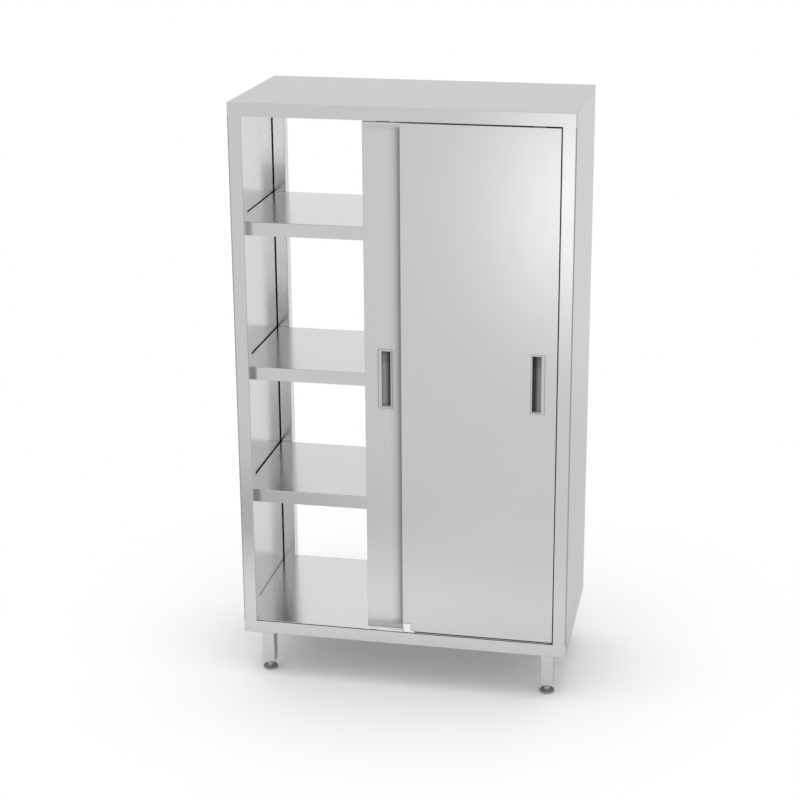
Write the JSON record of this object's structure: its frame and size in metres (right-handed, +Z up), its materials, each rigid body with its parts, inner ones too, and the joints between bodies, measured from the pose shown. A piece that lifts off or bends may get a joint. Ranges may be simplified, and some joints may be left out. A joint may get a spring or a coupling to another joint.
{
  "type": "sliding door cabinet",
  "caption": "Free-standing stainless steel pass-through storage cabinet with fixed shelves, adjustable feet, and sliding doors with recessed pulls hung from a double track on each long side.",
  "frame": {"origin": "middle of the footprint, on the ground the feet stand on", "axes": "+X to the right seen from the front, +Y towards the rear, +Z up"},
  "size_m": [1, 0.5, 1.8],
  "materials": {
    "carcass_steel": "fine satin, softly mirroring",
    "shelf_steel": "fine satin, softly mirroring",
    "door_steel": "fine satin, softly mirroring",
    "handle_steel": "satin",
    "leg_steel": "satin",
    "hanger_steel": "zinc plated",
    "stud_steel": "zinc plated",
    "track_aluminium": "mill finish",
    "roller_nylon": "matt",
    "guide_nylon": "matt",
    "plug_plastic": "matt",
    "foot_plastic": "matt, finely textured",
    "stop_rubber": "matt"
  },
  "bodies": {
    "carcass": {"bottom_panel": "carcass_steel", "cabinet_floor": "shelf_steel", "front_floor_guide": "guide_nylon", "front_left_leg": "leg_steel", "front_right_leg": "leg_steel", "front_track": "track_aluminium", "front_track_stops": "stop_rubber", "left_side_panel": "carcass_steel", "leg_plates": "leg_steel", "leg_plugs": "plug_plastic", "lower_shelf": "shelf_steel", "middle_shelf": "shelf_steel", "rear_floor_guide": "guide_nylon", "rear_left_leg": "leg_steel", "rear_right_leg": "leg_steel", "rear_track": "track_aluminium", "rear_track_stops": "stop_rubber", "right_side_panel": "carcass_steel", "shelf_brackets": "shelf_steel", "shelf_stiffeners": "shelf_steel", "top_panel": "carcass_steel", "upper_shelf": "shelf_steel"},
    "front_outer_door": {"front_outer_door_skin": "door_steel", "front_outer_door_back": "door_steel", "front_outer_door_handle": "handle_steel", "front_outer_door_hangers": "hanger_steel"},
    "front_outer_left_roller": {"front_outer_left_roller": "roller_nylon"},
    "front_outer_right_roller": {"front_outer_right_roller": "roller_nylon"},
    "front_inner_door": {"front_inner_door_skin": "door_steel", "front_inner_door_back": "door_steel", "front_inner_door_handle": "handle_steel", "front_inner_door_hangers": "hanger_steel"},
    "front_inner_left_roller": {"front_inner_left_roller": "roller_nylon"},
    "front_inner_right_roller": {"front_inner_right_roller": "roller_nylon"},
    "rear_outer_door": {"rear_outer_door_skin": "door_steel", "rear_outer_door_back": "door_steel", "rear_outer_door_handle": "handle_steel", "rear_outer_door_hangers": "hanger_steel"},
    "rear_outer_left_roller": {"rear_outer_left_roller": "roller_nylon"},
    "rear_outer_right_roller": {"rear_outer_right_roller": "roller_nylon"},
    "rear_inner_door": {"rear_inner_door_skin": "door_steel", "rear_inner_door_back": "door_steel", "rear_inner_door_handle": "handle_steel", "rear_inner_door_hangers": "hanger_steel"},
    "rear_inner_left_roller": {"rear_inner_left_roller": "roller_nylon"},
    "rear_inner_right_roller": {"rear_inner_right_roller": "roller_nylon"},
    "front_left_foot": {"front_left_foot_stud": "stud_steel", "front_left_foot_pad": "foot_plastic"},
    "front_right_foot": {"front_right_foot_stud": "stud_steel", "front_right_foot_pad": "foot_plastic"},
    "rear_left_foot": {"rear_left_foot_stud": "stud_steel", "rear_left_foot_pad": "foot_plastic"},
    "rear_right_foot": {"rear_right_foot_stud": "stud_steel", "rear_right_foot_pad": "foot_plastic"}
  },
  "joints": [
    {"name": "front_outer_door_slide", "type": "slide", "parent": "carcass", "child": "front_outer_door", "axis": [1, 0, 0], "range_m": [-0.43, 0]},
    {"name": "front_outer_left_roller_spin", "type": "hinge", "parent": "front_outer_door", "child": "front_outer_left_roller", "pos_m": [0.06, -0.2365, 1.784], "axis": [0, 1, 0], "range_deg": [-2310, 10]},
    {"name": "front_outer_right_roller_spin", "type": "hinge", "parent": "front_outer_door", "child": "front_outer_right_roller", "pos_m": [0.397, -0.2365, 1.784], "axis": [0, 1, 0], "range_deg": [-2310, 10]},
    {"name": "front_inner_door_slide", "type": "slide", "parent": "carcass", "child": "front_inner_door", "axis": [1, 0, 0], "range_m": [-0.345, 0.089]},
    {"name": "front_inner_left_roller_spin", "type": "hinge", "parent": "front_inner_door", "child": "front_inner_left_roller", "pos_m": [-0.052, -0.219, 1.782], "axis": [0, 1, 0], "range_deg": [-1860, 485]},
    {"name": "front_inner_right_roller_spin", "type": "hinge", "parent": "front_inner_door", "child": "front_inner_right_roller", "pos_m": [0.308, -0.219, 1.782], "axis": [0, 1, 0], "range_deg": [-1860, 485]},
    {"name": "rear_outer_door_slide", "type": "slide", "parent": "carcass", "child": "rear_outer_door", "axis": [1, 0, 0], "range_m": [-0.43, 0]},
    {"name": "rear_outer_left_roller_spin", "type": "hinge", "parent": "rear_outer_door", "child": "rear_outer_left_roller", "pos_m": [0.06, 0.2365, 1.784], "axis": [0, 1, 0], "range_deg": [-2310, 10]},
    {"name": "rear_outer_right_roller_spin", "type": "hinge", "parent": "rear_outer_door", "child": "rear_outer_right_roller", "pos_m": [0.397, 0.2365, 1.784], "axis": [0, 1, 0], "range_deg": [-2310, 10]},
    {"name": "rear_inner_door_slide", "type": "slide", "parent": "carcass", "child": "rear_inner_door", "axis": [1, 0, 0], "range_m": [-0.345, 0.089]},
    {"name": "rear_inner_left_roller_spin", "type": "hinge", "parent": "rear_inner_door", "child": "rear_inner_left_roller", "pos_m": [-0.052, 0.219, 1.782], "axis": [0, 1, 0], "range_deg": [-1860, 485]},
    {"name": "rear_inner_right_roller_spin", "type": "hinge", "parent": "rear_inner_door", "child": "rear_inner_right_roller", "pos_m": [0.308, 0.219, 1.782], "axis": [0, 1, 0], "range_deg": [-1860, 485]},
    {"name": "front_left_foot_height", "type": "slide", "parent": "carcass", "child": "front_left_foot", "axis": [0, 0, -1], "range_m": [-0.01, 0.02]},
    {"name": "front_right_foot_height", "type": "slide", "parent": "carcass", "child": "front_right_foot", "axis": [0, 0, -1], "range_m": [-0.01, 0.02]},
    {"name": "rear_left_foot_height", "type": "slide", "parent": "carcass", "child": "rear_left_foot", "axis": [0, 0, -1], "range_m": [-0.01, 0.02]},
    {"name": "rear_right_foot_height", "type": "slide", "parent": "carcass", "child": "rear_right_foot", "axis": [0, 0, -1], "range_m": [-0.01, 0.02]}
  ],
  "couplings": [
    {"joint": "front_outer_left_roller_spin", "follows": "front_outer_door_slide", "rad_per_m": 93.458},
    {"joint": "front_outer_right_roller_spin", "follows": "front_outer_door_slide", "rad_per_m": 93.458},
    {"joint": "front_inner_left_roller_spin", "follows": "front_inner_door_slide", "rad_per_m": 93.458},
    {"joint": "front_inner_right_roller_spin", "follows": "front_inner_door_slide", "rad_per_m": 93.458},
    {"joint": "rear_outer_left_roller_spin", "follows": "rear_outer_door_slide", "rad_per_m": 93.458},
    {"joint": "rear_outer_right_roller_spin", "follows": "rear_outer_door_slide", "rad_per_m": 93.458},
    {"joint": "rear_inner_left_roller_spin", "follows": "rear_inner_door_slide", "rad_per_m": 93.458},
    {"joint": "rear_inner_right_roller_spin", "follows": "rear_inner_door_slide", "rad_per_m": 93.458}
  ]
}
